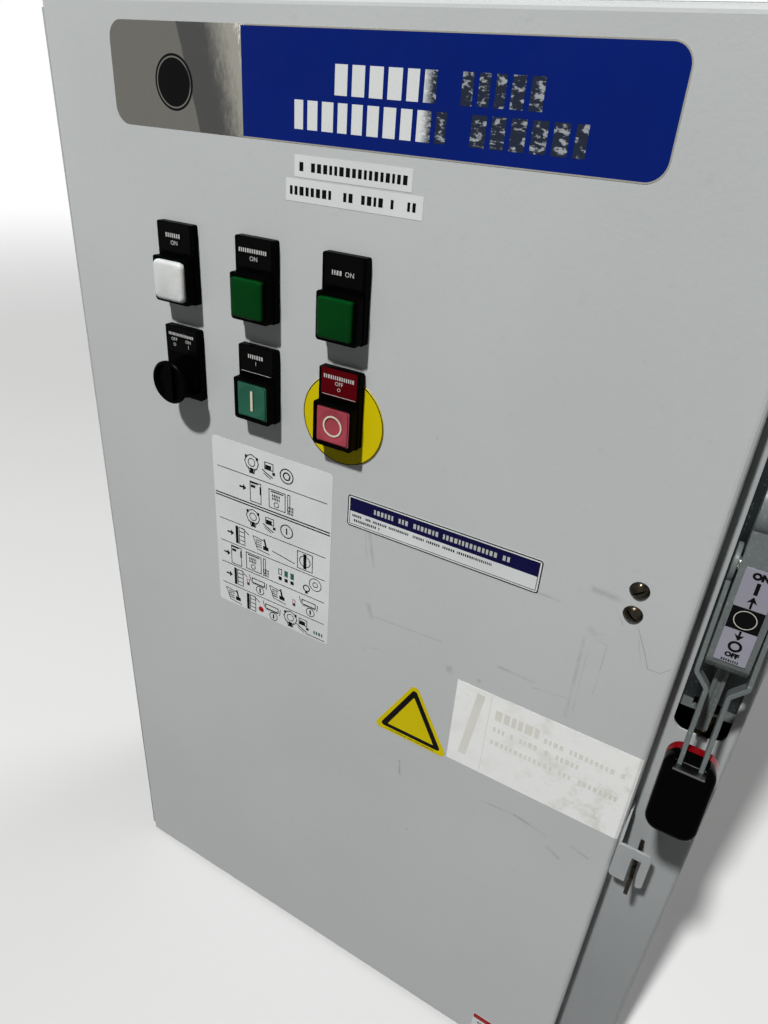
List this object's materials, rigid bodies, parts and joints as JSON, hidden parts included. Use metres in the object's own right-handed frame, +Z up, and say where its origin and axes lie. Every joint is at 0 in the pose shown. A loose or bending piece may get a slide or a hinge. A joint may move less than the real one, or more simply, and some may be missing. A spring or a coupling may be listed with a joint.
{
  "type": "main disconnect panel",
  "caption": "Steel control enclosure with a hinged door, illuminated operators, a flange-mounted disconnect lever and a main breaker inside.",
  "frame": {"origin": "middle of the body's width, at its front flange, under the body", "axes": "+X to the right along the front, +Y into the enclosure, +Z up"},
  "size_m": [0.5152, 0.2988, 0.794],
  "materials": {
    "paint": "semi-gloss powder coat, light grey",
    "zinc": "zinc-plated steel",
    "panel_white": "white enamel",
    "moulded": "thermoset moulding",
    "plate_white": "printed plate",
    "rubber": "cell foam and cable jacket",
    "brass": "dull brass",
    "slate": "dark slate paint",
    "cast_grey": "painted die casting",
    "gloss_black": "glossy black plastic",
    "grip_red": "glossy red plastic",
    "armature": "amber moulding",
    "lamination": "varnished laminations",
    "winding": "taped winding",
    "fuse_body": "fibre tube",
    "terminal_grey": "grey polyamide",
    "relay_clear": "relay cover",
    "duct_grey": "grey vinyl",
    "black_plastic": "moulded black plastic",
    "legend_black": "engraved legend plate",
    "disc_yellow": "yellow disc",
    "lens_white": "frosted lens",
    "lens_green": "dark green lens",
    "cap_green": "green cap",
    "cap_red": "red cap"
  },
  "bodies": {
    "root": {"enclosure": "paint", "wall_studs": "zinc", "mounting_panel": "panel_white", "panel_nuts": "zinc", "hinge_leaf_body": "paint", "hinge_pin": "zinc", "main_breaker": "moulded", "breaker_lugs": "zinc", "operator_base": "zinc", "operating_cable": "rubber", "cable_fittings": "brass", "handle_base": "slate", "mechanism_frame": "cast_grey", "handle_housing": "cast_grey", "handle_nameplate": "plate_white", "hasp_staple": "brass", "contactor_base": "moulded", "contactor_lugs": "brass", "transformer_core": "lamination", "transformer_coil": "winding", "fuse_block": "moulded", "fuses": "fuse_body", "din_rail": "zinc", "terminal_block": "terminal_grey", "relay_sockets": "moulded", "control_relays": "relay_clear", "ground_bar": "brass", "ground_screws": "zinc", "wire_duct": "duct_grey"},
    "lever": {"lever_yoke": "cast_grey", "lever_pin": "zinc", "drive_crank": "zinc", "grip_front": "gloss_black", "grip_back": "grip_red"},
    "drive_rod": {"drive_rod": "zinc"},
    "operator_slide": {"operator_slide": "zinc"},
    "breaker_toggle": {"breaker_toggle": "plate_white"},
    "catch_hook": {"catch_hook": "zinc"},
    "lock_tongue": {"lock_tongue": "cast_grey"},
    "contactor_carrier": {"contactor_carrier": "armature"},
    "start_button": {"start_button": "cap_green"},
    "stop_button": {"stop_button": "cap_red"},
    "selector_knob": {"selector_knob": "gloss_black"},
    "door": {"hinge_leaf_door": "paint", "door_panel": "paint", "door_gasket": "rubber", "door_catch": "zinc", "catch_screws": "brass", "door_hasp": "paint", "legend_holders": "black_plastic", "legend_inserts": "legend_black", "stop_disc": "disc_yellow", "operator_heads": "black_plastic", "power_lens": "lens_white", "run_lens": "lens_green", "backup_lens": "lens_green", "selector_bush": "black_plastic", "operator_nuts": "zinc", "contact_blocks": "moulded"}
  },
  "joints": [
    {"name": "door_swing", "type": "hinge", "parent": "root", "child": "door", "pos_m": [-0.2577, -0.001, 0.397], "axis": [0, 0, -1], "range_deg": [0, 135]},
    {"name": "handle_throw", "type": "hinge", "parent": "root", "child": "lever", "pos_m": [0.2325, -0.01, 0.552], "axis": [-1, 0, 0], "range_deg": [0, 144]},
    {"name": "drive_rod_slide", "type": "slide", "parent": "root", "child": "drive_rod", "axis": [0, 0, -1], "range_m": [0, 0.03044]},
    {"name": "operator_slide_travel", "type": "slide", "parent": "root", "child": "operator_slide", "axis": [0, 0, 1], "range_m": [0, 0.03044]},
    {"name": "breaker_toggle_throw", "type": "hinge", "parent": "root", "child": "breaker_toggle", "pos_m": [0.0425, 0.1409, 0.62], "axis": [-1, 0, 0], "range_deg": [0, 45.83]},
    {"name": "catch_hook_travel", "type": "slide", "parent": "root", "child": "catch_hook", "axis": [-1, 0, 0], "range_m": [0, 0.01]},
    {"name": "lock_tongue_slide", "type": "slide", "parent": "root", "child": "lock_tongue", "axis": [0, 0, 1], "range_m": [0, 0.012]},
    {"name": "contactor_press", "type": "slide", "parent": "root", "child": "contactor_carrier", "axis": [0, 1, 0], "range_m": [0, 0.005], "stiffness_N_per_m": 400},
    {"name": "start_press", "type": "slide", "parent": "door", "child": "start_button", "axis": [0, 1, 0], "range_m": [0, 0.003], "stiffness_N_per_m": 500},
    {"name": "stop_press", "type": "slide", "parent": "door", "child": "stop_button", "axis": [0, 1, 0], "range_m": [0, 0.003], "stiffness_N_per_m": 500},
    {"name": "selector_turn", "type": "hinge", "parent": "door", "child": "selector_knob", "pos_m": [-0.1492, -0.02, 0.57], "axis": [0, 1, 0], "range_deg": [0, 60]}
  ],
  "couplings": [
    {"joint": "drive_rod_slide", "follows": "handle_throw", "m_per_rad": 0.012109},
    {"joint": "operator_slide_travel", "follows": "handle_throw", "m_per_rad": 0.012109},
    {"joint": "breaker_toggle_throw", "follows": "handle_throw", "ratio": 0.31824},
    {"joint": "catch_hook_travel", "follows": "handle_throw", "m_per_rad": 0.0039789}
  ]
}
